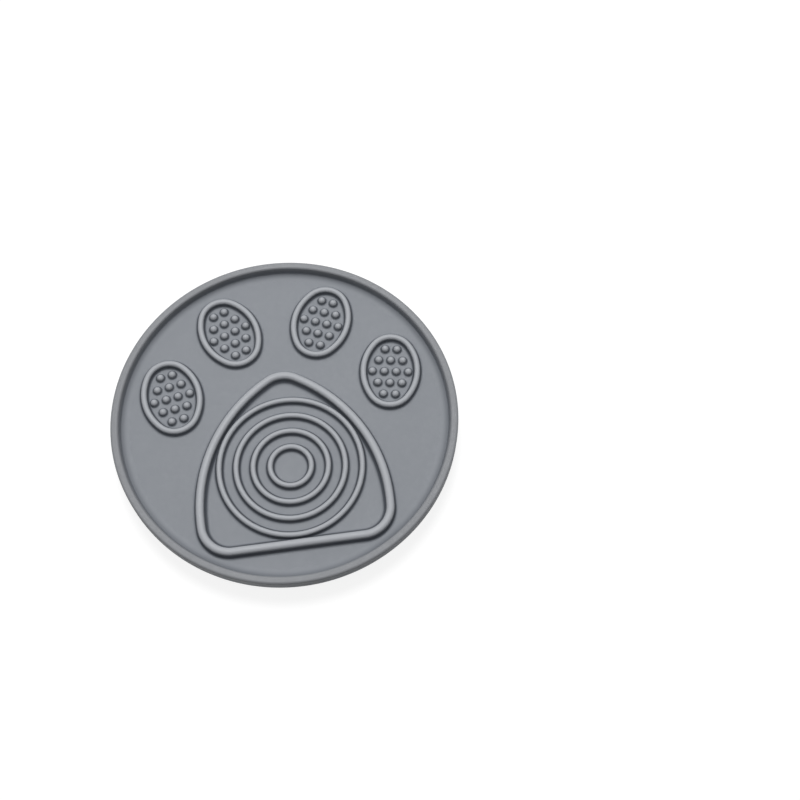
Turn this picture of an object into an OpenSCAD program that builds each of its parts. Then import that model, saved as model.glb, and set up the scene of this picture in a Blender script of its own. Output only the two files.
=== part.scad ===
// Lick mat in soft silicone: a round tray with a raised paw on its face and a suction cup under it
// The mat lies flat: the cup's lip is the plane z = 0 and the paw faces up, with its toes towards +Y

/* [Tray] */
// Diameter of the whole mat
mat_d = 150; // [144:1:170]
// Thickness of the floor plate
plate_t = 2.5; // [2:0.1:4]
// Rounding of the plate's lower edge
plate_edge_r = 1.5; // [0.5:0.1:1.8]
// Width of the raised rim
rim_w = 3.4; // [2.8:0.1:4.4]
// Height of the rim above the floor
rim_h = 4.5; // [4.2:0.1:7]
// Rounding of the rim's two top edges
rim_round_r = 1.1; // [0.4:0.1:1.3]
// Draft of the rim's inner wall, in degrees
rim_draft = 14; // [4:1:20]
// Radius of the hollow where the rim's inner wall runs out into the floor
rim_foot_r = 2.8; // [1:0.1:3]

/* [Paw walls] */
// Draft of the flanks of every wall of the paw, in degrees
wall_draft = 16; // [4:1:16]

/* [Lick rings] */
// The paw's radii and steps are given for a paw that fills this tray; paw_share fits them to another
// Radius of the innermost ring, at its crest
ring_first_r = 8.8; // [7.5:0.1:9.5]
// Step from one ring to the next
ring_pitch = 7.25; // [6:0.05:7.6]
// Width of a ring at the floor
ring_w = 2.9; // [2.5:0.1:3.1]
// Height of a ring above the floor
ring_h = 2.6; // [1.8:0.1:3]
// Distance of the rings' centre from the mat's centre, away from the toes
ring_back = 22.9; // [21:0.1:24.5]

/* [Heel wall] */
// Width at the floor of the wall round the heel pad
heel_w = 4; // [3.4:0.1:4.4]
// Height of the heel wall above the floor
heel_h = 3.6; // [2.4:0.1:4.1]
// Clearance between the outermost ring and the heel wall
heel_gap = 0.3; // [0.3:0.05:1.5]
// Clearance between the foot of the heel wall and the rim
heel_rim_gap = 12.4; // [12:0.1:14.5]
// Radius of the heel wall's bulged sides, at the crest
heel_side_r = 68; // [62:1:76]
// Radius of the two lower corners, at the crest
heel_corner_r = 12; // [8:0.5:13]
// Radius of the corner that points to the toes, at the crest
heel_apex_r = 12; // [6:0.5:14]
// Direction in which a bulged side comes nearest the rings, in degrees
heel_side_turn = 33; // [30:0.5:34]

/* [Toes] */
// Half the length of a toe oval, at the crest of its wall
toe_long_r = 16.4; // [14.5:0.1:17.4]
// Half the width of a toe oval, at the crest of its wall
toe_short_r = 11.9; // [11.6:0.1:12.6]
// Radius of the two ends of a toe oval, at the crest of its wall
toe_end_r = 9.6; // [8.6:0.1:10.4]
// Width of a toe wall at the floor
toe_wall_w = 3.2; // [2.7:0.1:3.4]
// Height of a toe wall above the floor
toe_wall_h = 2.8; // [2:0.1:3.4]
// Clearance between an inner toe and the rim
toe_inner_gap = 5.4; // [4:0.1:8]
// Clearance between an outer toe and the rim
toe_outer_gap = 6.4; // [4:0.1:9]
// Direction of an inner toe from the mat's centre, in degrees
toe_inner_turn = 64.8; // [64:0.1:66]
// Direction of an outer toe from the mat's centre, in degrees
toe_outer_turn = 18.1; // [17:0.1:19]
// Outward lean of an inner toe, in degrees
toe_inner_lean = 22.1; // [20:0.1:25]
// Outward lean of an outer toe, in degrees
toe_outer_lean = 9.7; // [8:0.1:12]

/* [Nubs] */
// Diameter of a nub
nub_d = 3.6; // [2.4:0.1:3.8]
// Height of a nub above the floor
nub_h = 2.3; // [1.4:0.1:2.6]
// Step from nub to nub along a row
nub_pitch_across = 5.3; // [4.4:0.1:5.4]
// Step from row to row
nub_pitch_along = 5.4; // [4.4:0.1:5.6]

/* [Suction cup] */
// Diameter of the cup's lip
cup_d = 76; // [60:1:90]
// Depth of the cup's hollow, which is also how far the mat can be pressed down
cup_depth = 5; // [4.6:0.1:8]
// Wall of the cup at its middle
cup_wall_t = 1.8; // [1.2:0.1:3]
// Thickness of the cup's edge
lip_t = 1.4; // [0.9:0.1:1.7]
// Width of the flat face of the lip, which seals on the table
lip_w = 1.6; // [1:0.1:3]
// Diameter of the flat disc in the middle of the hollow
cup_flat_d = 20; // [14:1:26]
// Diameter of the neck that joins the cup to the plate
neck_d = 26; // [18:1:34]
// Height of the neck between the cup and the plate
neck_h = 1.2; // [0.8:0.1:4]
// Rounding where the neck spreads into the plate
neck_foot_r = 1; // [0.3:0.1:1.1]

/* [Hidden] */
$fn = 96;

// Straight steps in each rounded edge of a profile, and in the soft foot of a wall of the paw
edge_steps = 6;
foot_steps = 2;
// Steps in the curved wall of the cup
cup_steps = 12;
// Steps round each corner and along each side of the paw's closed walls
corner_steps = 12;
side_steps = 12;
// Number of lick rings, and of nubs in each row of a toe
ring_count = 4;
nub_rows = [2, 3, 4, 3, 2];
// Share of the cup wall's fall that bends, the rest being a plain cone
cup_bend_share = 0.3;
// Radius of the soft foot of a wall of the paw, as a share of its width
foot_share = 0.04;
// Share of a nub's height that stands straight below its crown
nub_side_share = 0.12;

mat_r = mat_d / 2;
back_z = cup_depth + cup_wall_t + neck_h;
floor_z = back_z + plate_t;
rim_in_r = mat_r - rim_w;
cup_top_z = cup_depth + cup_wall_t;

// The paw's plan as a share of its own sizes, so that the heel wall keeps its clearance to the rim
// The walls of the paw keep their width and height
paw_drawn_r = ring_back + ring_first_r + (ring_count - 1) * ring_pitch + heel_rim_gap;
paw_share = (rim_in_r - ring_w / 2 - heel_gap - heel_w) / paw_drawn_r;

// The rings, and the heel wall laid out from the outermost one, so the two keep their clearance
rings_y = -ring_back * paw_share;
ring_start_r = ring_first_r * paw_share;
ring_step = ring_pitch * paw_share;
ring_last_r = ring_start_r + (ring_count - 1) * ring_step;
heel_clear_r = ring_last_r + ring_w / 2 + heel_gap + heel_w / 2;
side_r = heel_side_r * paw_share;
corner_r = heel_corner_r * paw_share;
apex_r = heel_apex_r * paw_share;
side_reach = side_r - heel_clear_r;
side_x = -side_reach * cos(heel_side_turn);
side_y = rings_y - side_reach * sin(heel_side_turn);
corner_y = rings_y - heel_clear_r + corner_r;
corner_x = side_x + sqrt(pow(side_r - corner_r, 2) - pow(corner_y - side_y, 2));
apex_y = side_y + sqrt(pow(side_r - apex_r, 2) - pow(side_x, 2));
corner_turn = atan2(corner_y - side_y, corner_x - side_x);
apex_turn = atan2(apex_y - side_y, -side_x);

// A toe oval is two end arcs and two flatter side arcs that meet smoothly
long_r = toe_long_r * paw_share;
short_r = toe_short_r * paw_share;
end_r = toe_end_r * paw_share;
end_y = long_r - end_r;
flat_r = (pow(short_r, 2) + pow(end_y, 2) - pow(end_r, 2)) / (2 * (short_r - end_r));
flat_x = flat_r - short_r;
flat_turn = atan2(end_y, flat_x);

// Reach of a toe oval from its centre, in a direction counted from its long axis
function toe_reach(turn) = norm([long_r * cos(turn), short_r * sin(turn)]) + toe_wall_w / 2;

// Each toe keeps its clearance to the rim along its own direction from the mat's centre
inner_distance = rim_in_r - toe_inner_gap - toe_reach(90 - toe_inner_turn - toe_inner_lean);
inner_x = inner_distance * cos(toe_inner_turn);
inner_y = inner_distance * sin(toe_inner_turn);
outer_distance = rim_in_r - toe_outer_gap - toe_reach(90 - toe_outer_turn - toe_outer_lean);
outer_x = outer_distance * cos(toe_outer_turn);
outer_y = outer_distance * sin(toe_outer_turn);

// Points of an arc round a centre, from one angle to another
function arc_points(x, y, r, start, end, steps = edge_steps) = [
    for (i = [0:steps])
        let (a = start + (end - start) * i / steps)
        [x + r * cos(a), y + r * sin(a)]
];

// Section of a wall of the paw: a round crest on drafted flanks, which stand w apart at the small foot
function wall_section(w, h) =
    let (
        crest_r = (w / 2 * cos(wall_draft) - h * sin(wall_draft)) / (1 - sin(wall_draft)),
        foot_r = w * foot_share,
        foot_x = w / 2 + foot_r * tan(45 - wall_draft / 2)
    )
    concat(
        arc_points(foot_x, foot_r, foot_r, 270, 180 + wall_draft, foot_steps),
        arc_points(0, h - crest_r, crest_r, wall_draft, 180 - wall_draft),
        arc_points(-foot_x, foot_r, foot_r, -wall_draft, -90, foot_steps)
    );

// How far the cup's wall has fallen, as a share, at a share of the way out to its lip
function fall(u) = (1 - cup_bend_share) * u + cup_bend_share * u * u;

// Stations along an arc of a wall's crest, each a place and its outward direction
function arc_stations(x, y, r, start, end, steps, first = 1) = [
    for (i = [first:steps])
        let (a = start + (end - start) * i / steps)
        [x + r * cos(a), y + r * sin(a), a]
];

// A raised wall that closes on itself along its stations, standing on z = 0
module closed_wall(stations, w, h) {
    section = wall_section(w, h);
    n = len(section);
    m = len(stations);
    corners = [
        for (s = stations)
            for (p = section)
                [s[0] + p[0] * cos(s[2]), s[1] + p[0] * sin(s[2]), p[1]]
    ];
    sides = [
        for (i = [0:m - 1])
            for (j = [0:n - 1])
                let (a = i * n, b = (i + 1) % m * n, k = (j + 1) % n)
                for (face = [[a + j, a + k, b + k], [a + j, b + k, b + j]])
                    face
    ];
    polyhedron(corners, sides);
}

module silicone() {
    color([0.57, 0.585, 0.61])
        children();
}

module base_plate() {
    edge_z = back_z + plate_edge_r;
    silicone()
        rotate_extrude()
            polygon(concat(
                [[0, back_z]],
                arc_points(mat_r - plate_edge_r, edge_z, plate_edge_r, 270, 360),
                [[mat_r, floor_z], [0, floor_z]]
            ));
}

module outer_rim() {
    top_z = floor_z + rim_h;
    both_r = rim_round_r + rim_foot_r;
    wall_h = rim_h - both_r * (1 - sin(rim_draft));
    foot_x = rim_in_r + rim_round_r - both_r * cos(rim_draft) - wall_h * tan(rim_draft);
    silicone()
        rotate_extrude()
            polygon(concat(
                [[mat_r, floor_z]],
                arc_points(mat_r - rim_round_r, top_z - rim_round_r, rim_round_r, 0, 90),
                arc_points(rim_in_r + rim_round_r, top_z - rim_round_r, rim_round_r, 90, 180 - rim_draft),
                arc_points(foot_x, floor_z + rim_foot_r, rim_foot_r, -rim_draft, -90)
            ));
}

module heel_wall() {
    stations = concat(
        arc_stations(corner_x, corner_y, corner_r, -90, corner_turn, corner_steps, 0),
        arc_stations(side_x, side_y, side_r, corner_turn, apex_turn, side_steps),
        arc_stations(0, apex_y, apex_r, apex_turn, 180 - apex_turn, corner_steps),
        arc_stations(-side_x, side_y, side_r, 180 - apex_turn, 180 - corner_turn, side_steps),
        arc_stations(-corner_x, corner_y, corner_r, 180 - corner_turn, 270, corner_steps)
    );
    silicone()
        translate([0, 0, floor_z])
            closed_wall(stations, heel_w, heel_h);
}

module lick_ring(number) {
    silicone()
        translate([0, rings_y, floor_z])
            rotate_extrude()
                translate([ring_start_r + (number - 1) * ring_step, 0])
                    polygon(wall_section(ring_w, ring_h));
}

module toe_wall() {
    stations = concat(
        arc_stations(-flat_x, 0, flat_r, -flat_turn, flat_turn, side_steps),
        arc_stations(0, end_y, end_r, flat_turn, 180 - flat_turn, corner_steps),
        arc_stations(flat_x, 0, flat_r, 180 - flat_turn, 180 + flat_turn, side_steps),
        arc_stations(0, -end_y, end_r, 180 + flat_turn, 360 - flat_turn, corner_steps)
    );
    closed_wall(stations, toe_wall_w, toe_wall_h);
}

module nub() {
    nub_r = nub_d / 2;
    side_h = nub_h * nub_side_share;
    rotate_extrude()
        polygon(concat(
            [[0, 0], [nub_r, 0]],
            [for (p = arc_points(0, 0, nub_r, 0, 90))
                [p[0], side_h + (nub_h - side_h) * p[1] / nub_r]]
        ));
}

module toe_nubs() {
    for (row = [0:len(nub_rows) - 1])
        for (i = [0:nub_rows[row] - 1])
            translate([
                (i - (nub_rows[row] - 1) / 2) * nub_pitch_across * paw_share,
                (row - (len(nub_rows) - 1) / 2) * nub_pitch_along * paw_share,
                0
            ])
                nub();
}

// An inner or outer toe, to the left or right, with its long axis along Y before it leans outward
module inner_toe(side) {
    silicone()
        translate([side * inner_x, inner_y, floor_z])
            rotate([0, 0, -side * toe_inner_lean])
                children();
}

module outer_toe(side) {
    silicone()
        translate([side * outer_x, outer_y, floor_z])
            rotate([0, 0, -side * toe_outer_lean])
                children();
}

module suction_neck() {
    silicone()
        rotate_extrude()
            polygon(concat(
                [[0, cup_top_z], [neck_d / 2, cup_top_z]],
                arc_points(neck_d / 2 + neck_foot_r, back_z - neck_foot_r, neck_foot_r, 180, 90),
                [[0, back_z]]
            ));
}

module suction_cup() {
    lip_round_r = lip_t / 2;
    lip_x = cup_d / 2 - lip_round_r;
    seal_x = cup_d / 2 - lip_w;
    flat_x = cup_flat_d / 2;
    neck_x = neck_d / 2;
    silicone()
        rotate_extrude()
            polygon(concat(
                [[0, cup_depth]],
                [for (i = [0:cup_steps])
                    let (u = i / cup_steps)
                    [flat_x + (seal_x - flat_x) * u, cup_depth * (1 - fall(u))]],
                arc_points(lip_x, lip_round_r, lip_round_r, 270, 450),
                [for (i = [cup_steps - 1:-1:0])
                    let (u = i / cup_steps)
                    [neck_x + (lip_x - neck_x) * u, cup_top_z - (cup_top_z - lip_t) * fall(u)]],
                [[0, cup_top_z]]
            ));
}

base_plate();
outer_rim();
heel_wall();
lick_ring(1);  // lick_ring_1
lick_ring(2);  // lick_ring_2
lick_ring(3);  // lick_ring_3
lick_ring(4);  // lick_ring_4
outer_toe(-1) toe_wall();  // toe_wall_outer_left
inner_toe(-1) toe_wall();  // toe_wall_inner_left
inner_toe(1) toe_wall();  // toe_wall_inner_right
outer_toe(1) toe_wall();  // toe_wall_outer_right
outer_toe(-1) toe_nubs();  // toe_nubs_outer_left
inner_toe(-1) toe_nubs();  // toe_nubs_inner_left
inner_toe(1) toe_nubs();  // toe_nubs_inner_right
outer_toe(1) toe_nubs();  // toe_nubs_outer_right
suction_neck();
suction_cup();
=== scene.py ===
from math import atan2, cos, hypot, pi, radians, sin, sqrt, tan

import bpy
from mathutils import Matrix, Vector


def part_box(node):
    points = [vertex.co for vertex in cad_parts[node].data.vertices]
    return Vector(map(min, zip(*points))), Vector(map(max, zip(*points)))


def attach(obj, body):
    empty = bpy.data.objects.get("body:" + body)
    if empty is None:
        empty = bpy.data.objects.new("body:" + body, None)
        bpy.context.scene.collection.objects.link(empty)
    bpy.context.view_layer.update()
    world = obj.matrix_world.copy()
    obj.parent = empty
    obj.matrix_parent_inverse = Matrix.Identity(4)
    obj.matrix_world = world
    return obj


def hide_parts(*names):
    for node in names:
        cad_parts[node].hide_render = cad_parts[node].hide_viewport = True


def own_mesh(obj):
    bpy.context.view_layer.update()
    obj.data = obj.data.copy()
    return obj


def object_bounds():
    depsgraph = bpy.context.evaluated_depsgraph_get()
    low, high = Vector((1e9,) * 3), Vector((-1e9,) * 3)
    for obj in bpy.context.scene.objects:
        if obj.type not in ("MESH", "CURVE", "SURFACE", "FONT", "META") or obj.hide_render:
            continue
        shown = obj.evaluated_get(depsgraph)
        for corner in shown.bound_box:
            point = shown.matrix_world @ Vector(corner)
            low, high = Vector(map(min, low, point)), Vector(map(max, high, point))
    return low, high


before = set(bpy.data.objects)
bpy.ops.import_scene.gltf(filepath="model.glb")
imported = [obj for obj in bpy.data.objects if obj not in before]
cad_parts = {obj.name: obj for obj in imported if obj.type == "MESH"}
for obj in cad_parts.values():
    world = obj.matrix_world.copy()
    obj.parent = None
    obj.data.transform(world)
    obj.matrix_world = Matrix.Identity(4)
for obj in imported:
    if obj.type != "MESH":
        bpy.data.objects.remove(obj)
cad_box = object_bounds()

# Floor plate
# The round floor that everything else stands on: 2.5 mm of food-grade silicone, pigmented grey.
# The whole mat is one compression moulding, so this plate runs into the rim, the ridges and the
# neck without a joint, and its skin has the fine satin of the blasted mould.
MM = 0.001
PLATE_EDGE_R = 1.5 * MM
# What stands on either side of the plate reaches this far into it
SINK = 0.1 * MM
GUARD = 0.25 * MM
SHARP_ANGLE = 32
SILICONE = (0.262, 0.279, 0.307, 1)
SILICONE_DEEP = (0.215, 0.231, 0.258, 1)
# Painted shade: the dark tone laid on the flanks of a relief, where shade falls
SILICONE_PAINTED_SHADE = (0.054, 0.062, 0.076, 1)
NOISE_LOW = 0.3
NOISE_HIGH = 0.7
CLOUD_SIZE = 34 * MM
CLOUD_LOW = 0.2
CLOUD_HIGH = 0.8
CLOUD_SHARE = 0.38
SPECK_SIZE = 1.6 * MM
SPECK_SHARE = 0.35
# Heights, as shares of a relief's rise, where the painted shade starts and where the painted highlight on
# its top starts and ends
SHADE_START_SHARE = 0.16
HIGHLIGHT_START_SHARE = 0.4
HIGHLIGHT_END_SHARE = 0.95
ROUGH_LOW = 0.5
ROUGH_HIGH = 0.62
CREST_POLISH = 0.06
GRAIN_SIZE = 0.22 * MM
COARSE_GRAIN_SIZE = 0.9 * MM
COARSE_GRAIN_SHARE = 0.3
GRAIN_DEPTH = 0.03 * MM
GRAIN_STRENGTH = 0.35
SWELL_SIZE = 9 * MM
SWELL_DEPTH = 0.35 * MM
SWELL_STRENGTH = 0.5
SILICONE_IOR = 1.41


class Wire:
    """A socket of a node tree. Sums, differences and products of wires add their Math nodes."""

    def __init__(self, tree, socket):
        self.tree = tree
        self.socket = socket

    def maths(self, operation, first, second):
        return self.tree.node("ShaderNodeMath", {"operation": operation}, {0: first, 1: second})

    def __add__(self, other):
        return self.maths("ADD", self, other)

    def __radd__(self, other):
        return self.maths("ADD", other, self)

    def __sub__(self, other):
        return self.maths("SUBTRACT", self, other)

    def __rsub__(self, other):
        return self.maths("SUBTRACT", other, self)

    def __mul__(self, other):
        return self.maths("MULTIPLY", self, other)

    def __rmul__(self, other):
        return self.maths("MULTIPLY", other, self)


class Tree:
    """The emptied node tree of a material or of the world."""

    def __init__(self, owner):
        owner.use_nodes = True
        self.made = owner.node_tree
        self.made.nodes.clear()

    def node(self, kind, settings, inputs, output=0):
        """Adds a node: its settings first, then a value or a wire for each input. Returns one output."""
        new = self.made.nodes.new(kind)
        for name, value in settings.items():
            setattr(new, name, value)
        for name, value in inputs.items():
            if isinstance(value, Wire):
                self.made.links.new(value.socket, new.inputs[name])
            else:
                new.inputs[name].default_value = value
        return Wire(self, new.outputs[output]) if new.outputs else None

    def spread(self, value, low, high, out_low=0, out_high=1):
        """Brings a value from between low and high smoothly to between out_low and out_high."""
        return self.node("ShaderNodeMapRange", {"interpolation_type": "SMOOTHSTEP"},
                         {0: value, 1: low, 2: high, 3: out_low, 4: out_high})

    def colour(self, share, first, second):
        """From the first colour to the second, by a share."""
        return self.node("ShaderNodeMix", {"data_type": "RGBA"}, {0: share, 6: first, 7: second}, output=2)

    def grain(self, place, size, detail=3):
        """A noise whose lumps are about one size, in metres."""
        return self.node("ShaderNodeTexNoise", {}, {"Vector": place, "Scale": 1 / size, "Detail": detail})


def moulded_silicone(name, foot_z, crest_z, painted_shade_share, top):
    """Satin grey silicone with a blasted grain, with painted shade on a relief's flanks and a tone for its
    top, a painted highlight where it is paler.
    """
    material = bpy.data.materials.new(name)
    tree = Tree(material)
    place = tree.node("ShaderNodeTexCoord", {}, {}, output=3)
    height = tree.node("ShaderNodeSeparateXYZ", {}, {0: place}, output=2)
    clouds = tree.grain(place, CLOUD_SIZE)
    specks = tree.grain(place, SPECK_SIZE, detail=4)
    rise = crest_z - foot_z
    painted_shade_mask = tree.spread(height, foot_z, foot_z + SHADE_START_SHARE * rise)
    painted_highlight_mask = tree.spread(height, foot_z + HIGHLIGHT_START_SHARE * rise, foot_z + HIGHLIGHT_END_SHARE * rise)
    speckled = tree.spread(clouds + (specks - 0.5) * SPECK_SHARE, NOISE_LOW, NOISE_HIGH)
    base = tree.colour(speckled, SILICONE_DEEP, SILICONE)
    cloudy = tree.spread(clouds, CLOUD_LOW, CLOUD_HIGH, 1 - CLOUD_SHARE, 1)
    base = tree.colour(cloudy, base, SILICONE)
    # Painted shade darkens what rises off the floor, then the top is painted in its own tone, a painted
    # highlight where that tone is paler
    base = tree.colour(painted_shade_mask * painted_shade_share, base, SILICONE_PAINTED_SHADE)
    base = tree.colour(painted_highlight_mask, base, top)
    mottled = tree.spread(specks * 0.5 + clouds * 0.5, NOISE_LOW, NOISE_HIGH, ROUGH_LOW, ROUGH_HIGH)
    rough = mottled - painted_highlight_mask * CREST_POLISH
    coarse = tree.grain(place, COARSE_GRAIN_SIZE, detail=2) * COARSE_GRAIN_SHARE
    skin = tree.grain(place, GRAIN_SIZE, detail=2) * (1 - COARSE_GRAIN_SHARE) + coarse
    fine = tree.node("ShaderNodeBump", {},
                     {"Strength": GRAIN_STRENGTH, "Distance": GRAIN_DEPTH, "Height": skin})
    swell = tree.grain(place, SWELL_SIZE, detail=1)
    normal = tree.node("ShaderNodeBump", {}, {
        "Strength": SWELL_STRENGTH, "Distance": SWELL_DEPTH, "Height": swell, "Normal": fine})
    shader = tree.node("ShaderNodeBsdfPrincipled", {}, {
        "Base Color": base, "Roughness": rough, "IOR": SILICONE_IOR, "Normal": normal})
    tree.node("ShaderNodeOutputMaterial", {}, {"Surface": shader})
    return material


def arc(x, y, r, start, end, steps=10):
    """Points of an arc round a centre, from one angle to another, in degrees."""
    turns = [radians(start + (end - start) * i / steps) for i in range(steps + 1)]
    return [(x + r * cos(t), y + r * sin(t)) for t in turns]


def guarded(outline):
    """The outline with a point close to each end of its long straights, which keeps those flat."""
    points = []
    for (x0, y0), (x1, y1) in zip(outline, outline[1:] + outline[:1]):
        points.append((x0, y0))
        length = hypot(x1 - x0, y1 - y0)
        if length > 4 * GUARD:
            for share in (GUARD / length, 1 - GUARD / length):
                points.append((x0 + (x1 - x0) * share, y0 + (y1 - y0) * share))
    return points


def moulding(name, points, faces, silicone):
    """A closed piece of the moulding, smooth but for its real edges."""
    mesh = bpy.data.meshes.new(name)
    mesh.from_pydata(points, [], faces)
    mesh.validate()
    mesh.update()
    mesh.shade_smooth()
    mesh.set_sharp_from_angle(angle=radians(SHARP_ANGLE))
    mesh.materials.append(silicone)
    piece = bpy.data.objects.new(name, mesh)
    bpy.context.collection.objects.link(piece)
    return piece


def turned(name, outline, silicone, x=0, y=0, steps=224):
    """A closed outline of (radius, height) points turned round an upright axis. Points on it are shared."""
    outline = guarded(outline)
    points = []
    rows = []
    for r, z in outline:
        count = steps if r else 1
        rows.append([len(points) + i % count for i in range(steps)])
        turns = [2 * pi * i / steps for i in range(count)]
        points += [(x + r * cos(t), y + r * sin(t), z) for t in turns]
    faces = []
    for row, above in zip(rows, rows[1:] + rows[:1]):
        for i in range(steps):
            j = (i + 1) % steps
            face = list(dict.fromkeys([row[i], row[j], above[j], above[i]]))
            if len(face) > 2:
                faces.append(face)
    return moulding(name, points, faces, silicone)


plate_lo, plate_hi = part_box("base_plate")
plate_r, back_z, floor_z = plate_hi.x, plate_lo.z, plate_hi.z
plain_silicone = moulded_silicone("plain_silicone", floor_z, cad_box[1][2], 0, SILICONE)

floor_plate = turned("floor_plate", [
    (0, back_z),
    *arc(plate_r - PLATE_EDGE_R, back_z + PLATE_EDGE_R, PLATE_EDGE_R, 270, 360),
    (plate_r, floor_z),
    (plate_r * 2 / 3, floor_z),
    (plate_r / 3, floor_z),
    (0, floor_z),
], plain_silicone)
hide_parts("base_plate")
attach(floor_plate, "mat")

# Rim
# The wall that keeps food on the mat, 3.4 mm wide at its top and 4.5 mm high, moulded on the plate's edge.
# Its top edges are rounded, and its inner wall leans out for the mould and ends in a gentle slope.
SILICONE_RIM = (0.266, 0.276, 0.294, 1)
# Share of painted shade on the rim's walls
RIM_PAINTED_SHADE_SHARE = 0.35
RIM_W = 3.4 * MM
RIM_ROUND_R = 1 * MM
RIM_DRAFT = 14
RIM_SLOPE = 26
RIM_SLOPE_R = 7.5 * MM
RIM_NOOK_R = 0.9 * MM
RIM_NOOK_STEPS = 6

rim_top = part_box("outer_rim")[1].z
# The rim's walls get a little painted shade; its top keeps about the plain silicone's tone
rim_silicone = moulded_silicone("rim_silicone", floor_z, rim_top, RIM_PAINTED_SHADE_SHARE, SILICONE_RIM)
rim_in = plate_r - RIM_W
draft, slope = radians(RIM_DRAFT), radians(RIM_SLOPE)
nook_z = floor_z + RIM_SLOPE_R - (RIM_SLOPE_R - RIM_NOOK_R) * cos(slope)
both_r = RIM_ROUND_R + RIM_NOOK_R
wall_h = rim_top - nook_z - RIM_ROUND_R + both_r * sin(draft)
nook_x = rim_in + RIM_ROUND_R - both_r * cos(draft) - wall_h * tan(draft)
foot_x = nook_x - (RIM_SLOPE_R - RIM_NOOK_R) * sin(slope)
tray_rim = turned("tray_rim", [
    (plate_r - 3 * SINK, floor_z - SINK),
    (plate_r, floor_z),
    *arc(plate_r - RIM_ROUND_R, rim_top - RIM_ROUND_R, RIM_ROUND_R, 0, 90),
    *arc(rim_in + RIM_ROUND_R, rim_top - RIM_ROUND_R, RIM_ROUND_R, 90, 180 - RIM_DRAFT),
    *arc(nook_x, nook_z, RIM_NOOK_R, -RIM_DRAFT, RIM_SLOPE - 90, RIM_NOOK_STEPS),
    *arc(foot_x, floor_z + RIM_SLOPE_R, RIM_SLOPE_R, RIM_SLOPE - 90, -90)[1:],
    (foot_x, floor_z - SINK),
], rim_silicone)
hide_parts("outer_rim")
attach(tray_rim, "mat")

# Heel ridge
# The ridge round the heel pad of the paw, a rounded triangle of three bulged corners and sides.
# It is the highest ridge, cut as one groove in the mould, with drafted flanks and the widest foot on its
# inside. Its round crest is flattened a little on the outside.
HEEL_W = 4 * MM
HEEL_FLAT = 0.4 * MM
HEEL_INNER_FOOT_R = 2.2 * MM
HEEL_SIDE_R = 68 * MM
HEEL_CORNER_R = 12 * MM
HEEL_APEX_R = 12 * MM
HEEL_SIDE_STEP = 2 * MM
HEEL_BASE_STEP = 3 * MM
SOLID_FOOT_SHARE = 0.04
DRAFT = 16
FLANK_LEAN = 14
FOOT_R = 1.5 * MM
FOOT_STEPS = 8
CREST_SPREAD = 1.2
CREST_STEPS = 9
STATION_STEP = 0.9 * MM
LEAST_STATIONS = 6
# Painted highlight tone for the crests of the ridges and bumps, and the share of painted shade on the
# ridges' flanks
SILICONE_PAINTED_HIGHLIGHT = (0.445, 0.463, 0.493, 1)
RIDGE_PAINTED_SHADE_SHARE = 0.88


def ridge_section(w, h, flat=0, inner_r=FOOT_R):
    """Section of a ridge: a round crest, with a flat beside it if any, on leaning flanks with soft feet."""
    draft, lean = radians(DRAFT), radians(FLANK_LEAN)
    crest_r = CREST_SPREAD * (w / 2 * cos(draft) - h * sin(draft)) / (1 - sin(draft))
    flank_x = (crest_r * (1 - sin(lean)) + h * sin(lean)) / cos(lean)
    outer_x = flank_x + flat + FOOT_R * tan(pi / 4 - lean / 2)
    inner_x = flank_x + inner_r * tan(pi / 4 - lean / 2)
    return [
        (outer_x, -SINK),
        *arc(outer_x, FOOT_R, FOOT_R, 270, 180 + FLANK_LEAN, FOOT_STEPS),
        *arc(flat, h - crest_r, crest_r, FLANK_LEAN, 90, CREST_STEPS),
        *arc(0, h - crest_r, crest_r, 90, 180 - FLANK_LEAN, CREST_STEPS)[0 if flat else 1:],
        *arc(-inner_x, inner_r, inner_r, -FLANK_LEAN, -90, FOOT_STEPS),
        (-inner_x, -SINK),
    ]


def reach_of(w):
    """How far the solid of a ridge spreads to each side of its crest, with its small foot."""
    return w / 2 + w * SOLID_FOOT_SHARE * tan(pi / 4 - radians(DRAFT) / 2)


def stations(x, y, r, start, end, spacing=STATION_STEP):
    """Places along an arc of a ridge's crest, each with its outward direction. The last is left out."""
    steps = max(LEAST_STATIONS, round(abs(radians(end - start)) * r / spacing))
    turns = [radians(start + (end - start) * i / steps) for i in range(steps)]
    return [(x + r * cos(t), y + r * sin(t), t) for t in turns]


def closed_ridge(name, course, section, silicone, turn=0, x=0, y=0):
    """A ridge that closes on itself along its stations, turned and moved to its place on the floor."""
    place = Matrix.Translation((x, y, floor_z)) @ Matrix.Rotation(turn, 4, "Z")
    points = [place @ Vector((px + across * cos(t), py + across * sin(t), up))
              for px, py, t in course for across, up in section]
    wide, long = len(section), len(course)
    faces = [(i * wide + j, i * wide + (j + 1) % wide,
              (i + 1) % long * wide + (j + 1) % wide, (i + 1) % long * wide + j)
             for i in range(long) for j in range(wide)]
    return moulding(name, points, faces, silicone)


heel_lo, heel_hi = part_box("heel_wall")
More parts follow.
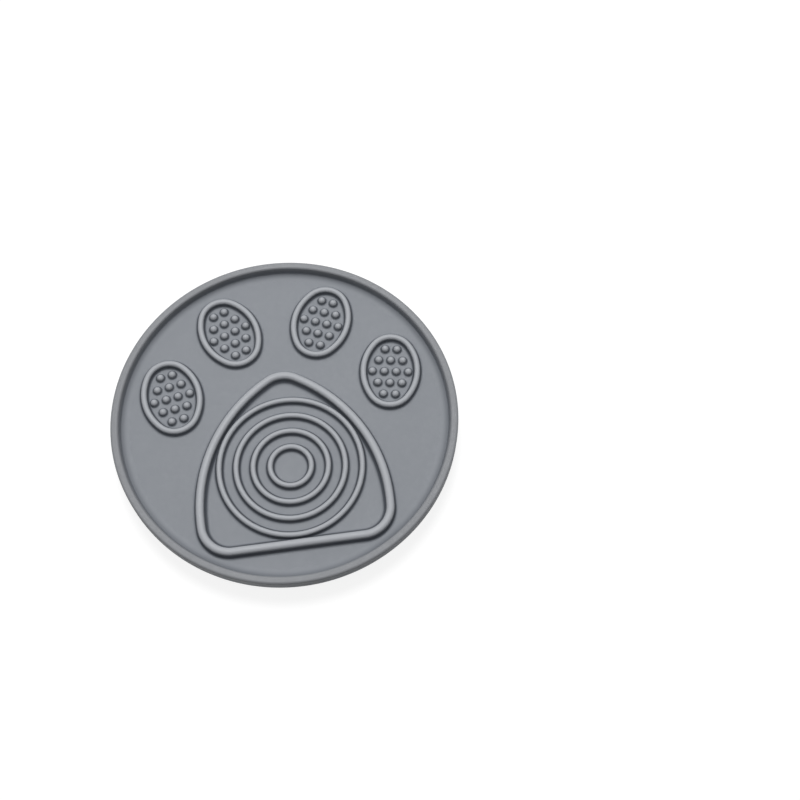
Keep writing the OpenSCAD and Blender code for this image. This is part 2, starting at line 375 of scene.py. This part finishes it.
# Painted highlight on the heel ridge's crest, painted shade on its flanks
heel_silicone = moulded_silicone("heel_silicone", floor_z, heel_hi.z, RIDGE_PAINTED_SHADE_SHARE, SILICONE_PAINTED_HIGHLIGHT)
reach = reach_of(HEEL_W)
side_x = heel_hi.x - reach - HEEL_SIDE_R
apex_y = heel_hi.y - reach - HEEL_APEX_R
side_y = apex_y - sqrt((HEEL_SIDE_R - HEEL_APEX_R) ** 2 - side_x ** 2)
corner_y = heel_lo.y + reach + HEEL_CORNER_R
corner_x = side_x + sqrt((HEEL_SIDE_R - HEEL_CORNER_R) ** 2 - (corner_y - side_y) ** 2)
corner_turn = atan2(corner_y - side_y, corner_x - side_x) * 180 / pi
apex_turn = atan2(apex_y - side_y, -side_x) * 180 / pi
base_steps = round(2 * corner_x / HEEL_BASE_STEP)
base_shares = [2 * i / base_steps - 1 for i in range(base_steps)]
heel_course = [
    *stations(corner_x, corner_y, HEEL_CORNER_R, -90, corner_turn),
    *stations(side_x, side_y, HEEL_SIDE_R, corner_turn, apex_turn, HEEL_SIDE_STEP),
    *stations(0, apex_y, HEEL_APEX_R, apex_turn, 180 - apex_turn),
    *stations(-side_x, side_y, HEEL_SIDE_R, 180 - apex_turn, 180 - corner_turn, HEEL_SIDE_STEP),
    *stations(-corner_x, corner_y, HEEL_CORNER_R, 180 - corner_turn, 270),
    *[(corner_x * share, corner_y - HEEL_CORNER_R, -pi / 2) for share in base_shares],
]
heel_section = ridge_section(HEEL_W, heel_hi.z - floor_z, HEEL_FLAT, HEEL_INNER_FOOT_R)
heel_ridge = closed_ridge("heel_ridge", heel_course, heel_section, heel_silicone)
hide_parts("heel_wall")
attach(heel_ridge, "mat")

# Lick rings
# Four round ridges with one centre, which hold soft food so that the animal licks it out slowly.
# All are alike but in size: 2.6 mm high with a round crest, each turned as a groove in the mould.
RING_W = 2.9 * MM
RING_COUNT = 4
RING_LEAST_STEPS = 96
RING_STEP_R = 0.3 * MM

ring_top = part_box("lick_ring_1")[1].z
# Painted highlight on the rings' crests, painted shade on their flanks
ring_silicone = moulded_silicone("ring_silicone", floor_z, ring_top, RIDGE_PAINTED_SHADE_SHARE, SILICONE_PAINTED_HIGHLIGHT)
ring_section = ridge_section(RING_W, ring_top - floor_z)
for number in range(1, RING_COUNT + 1):
    ring_lo, ring_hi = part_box(f"lick_ring_{number}")
    crest_r = (ring_hi.x - ring_lo.x) / 2 - reach_of(RING_W)
    outline = [(crest_r + across, floor_z + up) for across, up in ring_section]
    steps = round(RING_LEAST_STEPS + crest_r / RING_STEP_R)
    ring_ridge = turned(f"ring_ridge_{number}", outline, ring_silicone,
                        y=(ring_lo.y + ring_hi.y) / 2, steps=steps)
    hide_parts(f"lick_ring_{number}")
    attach(ring_ridge, "mat")

# Toe ridges
# Four oval ridges, one round each toe of the paw, 2.8 mm high with round crests.
# Each oval is two end arcs and two flatter side arcs, and leans outward with its toe.
TOE_W = 3.2 * MM
TOE_LONG_R = 16.4 * MM
TOE_SHORT_R = 11.9 * MM
TOE_END_R = 9.6 * MM
TOE_LEAN = {"outer_left": 9.7, "inner_left": 22.1, "inner_right": -22.1, "outer_right": -9.7}

end_y = TOE_LONG_R - TOE_END_R
flat_r = (TOE_SHORT_R ** 2 + end_y ** 2 - TOE_END_R ** 2) / (2 * (TOE_SHORT_R - TOE_END_R))
flat_x = flat_r - TOE_SHORT_R
flat_turn = atan2(end_y, flat_x) * 180 / pi
toe_course = [
    *stations(-flat_x, 0, flat_r, -flat_turn, flat_turn),
    *stations(0, end_y, TOE_END_R, flat_turn, 180 - flat_turn),
    *stations(flat_x, 0, flat_r, 180 - flat_turn, 180 + flat_turn),
    *stations(0, -end_y, TOE_END_R, 180 + flat_turn, 360 - flat_turn),
]
toe_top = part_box("toe_wall_inner_left")[1].z
# Painted highlight on the toe ridges' crests, painted shade on their flanks
toe_silicone = moulded_silicone("toe_silicone", floor_z, toe_top, RIDGE_PAINTED_SHADE_SHARE, SILICONE_PAINTED_HIGHLIGHT)
toe_section = ridge_section(TOE_W, toe_top - floor_z)
for toe, lean in TOE_LEAN.items():
    toe_lo, toe_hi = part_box(f"toe_wall_{toe}")
    centre = (toe_lo + toe_hi) / 2
    toe_ridge = closed_ridge(f"toe_ridge_{toe}", toe_course, toe_section, toe_silicone,
                             radians(lean), centre.x, centre.y)
    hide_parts(f"toe_wall_{toe}")
    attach(toe_ridge, "mat")

# Toe bumps
# Fourteen round bumps in each toe, in rows of 2, 3, 4, 3 and 2, which rough up the floor there.
# Each is a round crown on a soft foot, made by a round cutter drilled into the mould.
BUMP_D = 3.6 * MM
BUMP_ROWS = (2, 3, 4, 3, 2)
BUMP_ACROSS = 5.3 * MM
BUMP_ALONG = 5.4 * MM
BUMP_CROWN_INSET = 0.3 * MM
BUMP_LEAN = 24
BUMP_FOOT_R = 1.1 * MM
BUMP_FOOT_STEPS = 6
# Height share where the painted highlight on a bump's crown ends, and the share of painted shade on its
# sides
BUMP_HIGHLIGHT_SHARE = 0.78
BUMP_PAINTED_SHADE_SHARE = 0.74
BUMP_STEPS = 32


def bump_section(h):
    """Outline of a bump from its soft foot to its round crown, as (radius, height) points."""
    lean = radians(BUMP_LEAN)
    crown_r = BUMP_D / 2 - BUMP_CROWN_INSET
    side_h = h - crown_r * (1 - sin(lean)) - BUMP_FOOT_R * (1 - sin(lean))
    foot_x = (crown_r + BUMP_FOOT_R) * cos(lean) + side_h * tan(lean)
    return [(foot_x, -SINK), *arc(foot_x, BUMP_FOOT_R, BUMP_FOOT_R, 270, 180 + BUMP_LEAN, BUMP_FOOT_STEPS),
            *arc(0, h - crown_r, crown_r, BUMP_LEAN, 90, CREST_STEPS)]


bump_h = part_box("toe_nubs_inner_left")[1].z - floor_z
# Painted highlight on each bump's crown, painted shade round its sides
bump_highlight_z = floor_z + BUMP_HIGHLIGHT_SHARE * bump_h
bump_silicone = moulded_silicone("bump_silicone", floor_z, bump_highlight_z, BUMP_PAINTED_SHADE_SHARE, SILICONE_PAINTED_HIGHLIGHT)
bump_turns = [2 * pi * k / BUMP_STEPS for k in range(BUMP_STEPS)]
section = bump_section(bump_h)
for toe, lean in TOE_LEAN.items():
    bumps_lo, bumps_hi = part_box(f"toe_nubs_{toe}")
    centre = (bumps_lo + bumps_hi) / 2
    place = Matrix.Translation((centre.x, centre.y, floor_z)) @ Matrix.Rotation(radians(lean), 4, "Z")
    points = []
    faces = []
    for row, count in enumerate(BUMP_ROWS):
        for i in range(count):
            x = (i - (count - 1) / 2) * BUMP_ACROSS
            y = (row - (len(BUMP_ROWS) - 1) / 2) * BUMP_ALONG
            first = len(points)
            points += [place @ Vector((x + r * cos(t), y + r * sin(t), z))
                       for r, z in section[:-1] for t in bump_turns]
            top = len(points)
            points.append(place @ Vector((x, y, section[-1][1])))
            faces.append([first + k for k in reversed(range(BUMP_STEPS))])
            for level in range(len(section) - 2):
                start = first + level * BUMP_STEPS
                for k in range(BUMP_STEPS):
                    a, b = start + k, start + (k + 1) % BUMP_STEPS
                    faces.append([a, b, b + BUMP_STEPS, a + BUMP_STEPS])
            last = top - BUMP_STEPS
            faces += [[last + k, last + (k + 1) % BUMP_STEPS, top] for k in range(BUMP_STEPS)]
    toe_bumps = moulding(f"toe_bumps_{toe}", points, faces, bump_silicone)
    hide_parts(f"toe_nubs_{toe}")
    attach(toe_bumps, "mat")

# Neck
# The short boss in the middle of the back that carries the cup, solid silicone all through.
# It is moulded with the plate and spreads into it with a small foot, so that it doesn't tear there.
NECK_FOOT_R = 1 * MM

neck_lo, neck_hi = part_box("suction_neck")
neck_r = neck_hi.x - NECK_FOOT_R
cup_neck = turned("cup_neck", [
    (0, neck_lo.z),
    (neck_r, neck_lo.z),
    *arc(neck_r + NECK_FOOT_R, back_z - NECK_FOOT_R, NECK_FOOT_R, 180, 90),
    (neck_r + NECK_FOOT_R, back_z + SINK),
    (0, back_z + SINK),
], plain_silicone)
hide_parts("suction_neck")
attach(cup_neck, "mat")

# Mould line
# A faint raised line in the silicone of the back, from the neck nearly to the plate's edge.
# The mould's back is made of two halves there, and the silicone fills the hair's breadth between them.
LINE_W = 1.25 * MM
LINE_H = 0.27 * MM
LINE_TO_NECK = 0.4 * MM
LINE_TO_EDGE = 7.3 * MM
LINE_STEPS = 40
LINE_END_STEPS = 8

line_start = neck_hi.x + LINE_TO_NECK
line_end = plate_r - LINE_TO_EDGE
straight = line_end - line_start - LINE_W
end_turns = [pi / 2 * i / LINE_END_STEPS for i in range(1, LINE_END_STEPS)]
line_course = [
    *[(line_start + LINE_W / 2 * (1 - cos(t)), sin(t)) for t in end_turns],
    *[(line_start + LINE_W / 2 + straight * i / LINE_STEPS, 1) for i in range(LINE_STEPS + 1)],
    *[(line_end - LINE_W / 2 * (1 - cos(t)), sin(t)) for t in reversed(end_turns)],
]
line_section = [
    (LINE_W / 2, SINK),
    *[(x, -z) for x, z in arc(0, 0, LINE_W / 2, 0, 180)],
    (-LINE_W / 2, SINK),
]
points = [(x * share, y, back_z + (z if z > 0 else z * share * LINE_H / (LINE_W / 2)))
          for y, share in line_course for x, z in line_section]
wide = len(line_section)
faces = [(i * wide + j, i * wide + (j + 1) % wide, (i + 1) * wide + (j + 1) % wide, (i + 1) * wide + j)
         for i in range(len(line_course) - 1) for j in range(wide)]
faces += [tuple(reversed(range(wide))), tuple(range(len(points) - wide, len(points)))]
mould_line = moulding("mould_line", points, faces, plain_silicone)
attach(mould_line, "mat")

# Suction cup
# The shallow cup that holds the mat on a smooth floor: it flattens as the mat is pressed down.
# Its wall is 1.8 mm at the neck and thins to a round lip with a flat sealing face, all one moulding.
# Painted highlight tone of the cup's lip
SILICONE_LIP_HIGHLIGHT = (0.36, 0.377, 0.405, 1)
CUP_DEPTH = 5 * MM
LIP_T = 1.4 * MM
LIP_W = 1.6 * MM
CUP_FLAT_R = 10 * MM
CUP_BEND_SHARE = 0.3
CUP_STEPS = 24

cup_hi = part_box("suction_cup")[1]
cup_r, cup_top = cup_hi.x, cup_hi.z
# This relief points down: its foot is in the wall and its crest is the lip, painted pale as a highlight
cup_silicone = moulded_silicone("cup_silicone", 2 * LIP_T, 0, 0, SILICONE_LIP_HIGHLIGHT)
lip_x = cup_r - LIP_T / 2


def cup_wall(start_r, end_r, top, bottom):
    """A face of the cup's wall, from the middle out, falling as a cone that bends a little."""
    shares = [i / CUP_STEPS for i in range(CUP_STEPS + 1)]
    return [(start_r + (end_r - start_r) * u,
             top - (top - bottom) * ((1 - CUP_BEND_SHARE) * u + CUP_BEND_SHARE * u * u)) for u in shares]


cup_bowl = turned("cup_bowl", [
    (0, CUP_DEPTH),
    *cup_wall(CUP_FLAT_R, cup_r - LIP_W, CUP_DEPTH, 0),
    *arc(lip_x, LIP_T / 2, LIP_T / 2, 270, 450),
    *reversed(cup_wall(neck_r, lip_x, cup_top, LIP_T)[:-1]),
    (0, cup_top),
], cup_silicone)
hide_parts("suction_cup")
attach(cup_bowl, "suction_foot")
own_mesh(cup_bowl)

# Floor and studio
# A white floor with a soft shadow, and a white room that gives the most light from above and behind.
# One soft lamp hangs high behind the toes and gives the ridges their shadows on the heel's side.
FLOOR_SIZE = 6
FLOOR_WHITE = (0.25, 0.25, 0.25, 1)
FLOOR_GLOW = 0.86
GLOW_START_R = 0.3
GLOW_FULL_R = 0.9
ROOM_LOW = 0.08
ROOM_HIGH = 0.3
ROOM_UP_SHARE = 0.8
ROOM_LOW_SIDE = -0.7
ROOM_HIGH_SIDE = 1.1
LAMP_PLACE = Vector((0.02, 0.41, 1.18))
LAMP_SIZE = 0.55
LAMP_WATTS = 10.15


def seen_directly(tree):
    """1 for what the lens, a gloss or a clear part sees of a surface, and 0 for the light that it gives."""
    path = tree.node("ShaderNodeLightPath", {}, {}).socket.node
    camera, glossy, through = [Wire(tree, path.outputs[name])
                               for name in ("Is Camera Ray", "Is Glossy Ray", "Is Transmission Ray")]
    return camera + glossy + through


floor_mesh = bpy.data.meshes.new("studio_floor")
half = FLOOR_SIZE / 2
corners = [(-half, -half, 0), (half, -half, 0), (half, half, 0), (-half, half, 0)]
floor_mesh.from_pydata(corners, [], [(0, 1, 2, 3)])
studio_floor = bpy.data.objects.new("studio_floor", floor_mesh)
bpy.context.collection.objects.link(studio_floor)
white = bpy.data.materials.new("studio_white")
tree = Tree(white)
matt = tree.node("ShaderNodeBsdfDiffuse", {}, {"Color": FLOOR_WHITE})
place = tree.node("ShaderNodeTexCoord", {}, {}, output=3)
away = tree.node("ShaderNodeVectorMath", {"operation": "LENGTH"}, {0: place}, output=1)
brightness = seen_directly(tree) * tree.spread(away, GLOW_START_R, GLOW_FULL_R, FLOOR_GLOW, 1)
glow = tree.node("ShaderNodeEmission", {}, {"Color": (1, 1, 1, 1), "Strength": brightness})
both = tree.node("ShaderNodeAddShader", {}, {0: matt, 1: glow})
tree.node("ShaderNodeOutputMaterial", {}, {"Surface": both})
floor_mesh.materials.append(white)

room = bpy.data.worlds.new("studio_room")
bpy.context.scene.world = room
tree = Tree(room)
direction = tree.node("ShaderNodeTexCoord", {}, {})
split = tree.node("ShaderNodeSeparateXYZ", {}, {0: direction}).socket.node
towards = Wire(tree, split.outputs["Y"]) + Wire(tree, split.outputs["Z"]) * ROOM_UP_SHARE
lit = tree.spread(towards, ROOM_LOW_SIDE, ROOM_HIGH_SIDE, ROOM_LOW, ROOM_HIGH)
seen = seen_directly(tree)
strength = lit * (1 - seen) + seen
sky = tree.node("ShaderNodeBackground", {}, {"Color": (1, 1, 1, 1), "Strength": strength})
tree.node("ShaderNodeOutputWorld", {}, {"Surface": sky})

lamp = bpy.data.lights.new("studio_lamp", "AREA")
lamp.shape = "DISK"
lamp.size = LAMP_SIZE
lamp.energy = LAMP_WATTS
lamp_stand = bpy.data.objects.new("studio_lamp", lamp)
lamp_stand.location = LAMP_PLACE
lamp_stand.rotation_euler = (-LAMP_PLACE).to_track_quat("-Z", "Y").to_euler()
bpy.context.collection.objects.link(lamp_stand)

# Camera
# It stands over the heel end of the mat, to its right, and looks past the mat's centre.
# The place, aim and roll give the mat the photograph's framing and its angle to the lens.
CAMERA_PLACE = Vector((16.16, -205.7, 503.9)) * MM
CAMERA_AIM = Vector((50.5, 1.8, 10.5)) * MM
CAMERA_ROLL = 1.575
LENS = 55.09
SENSOR_W = 36

camera = bpy.data.cameras.new("studio_camera")
camera.lens = LENS
camera.sensor_width = SENSOR_W
camera_stand = bpy.data.objects.new("studio_camera", camera)
camera_stand.location = CAMERA_PLACE
aim = (CAMERA_AIM - CAMERA_PLACE).to_track_quat("-Z", "Y").to_matrix()
camera_stand.rotation_euler = (aim @ Matrix.Rotation(radians(CAMERA_ROLL), 3, "Z")).to_euler()
bpy.context.collection.objects.link(camera_stand)
bpy.context.scene.camera = camera_stand
bpy.context.scene.view_settings.view_transform = "Standard"
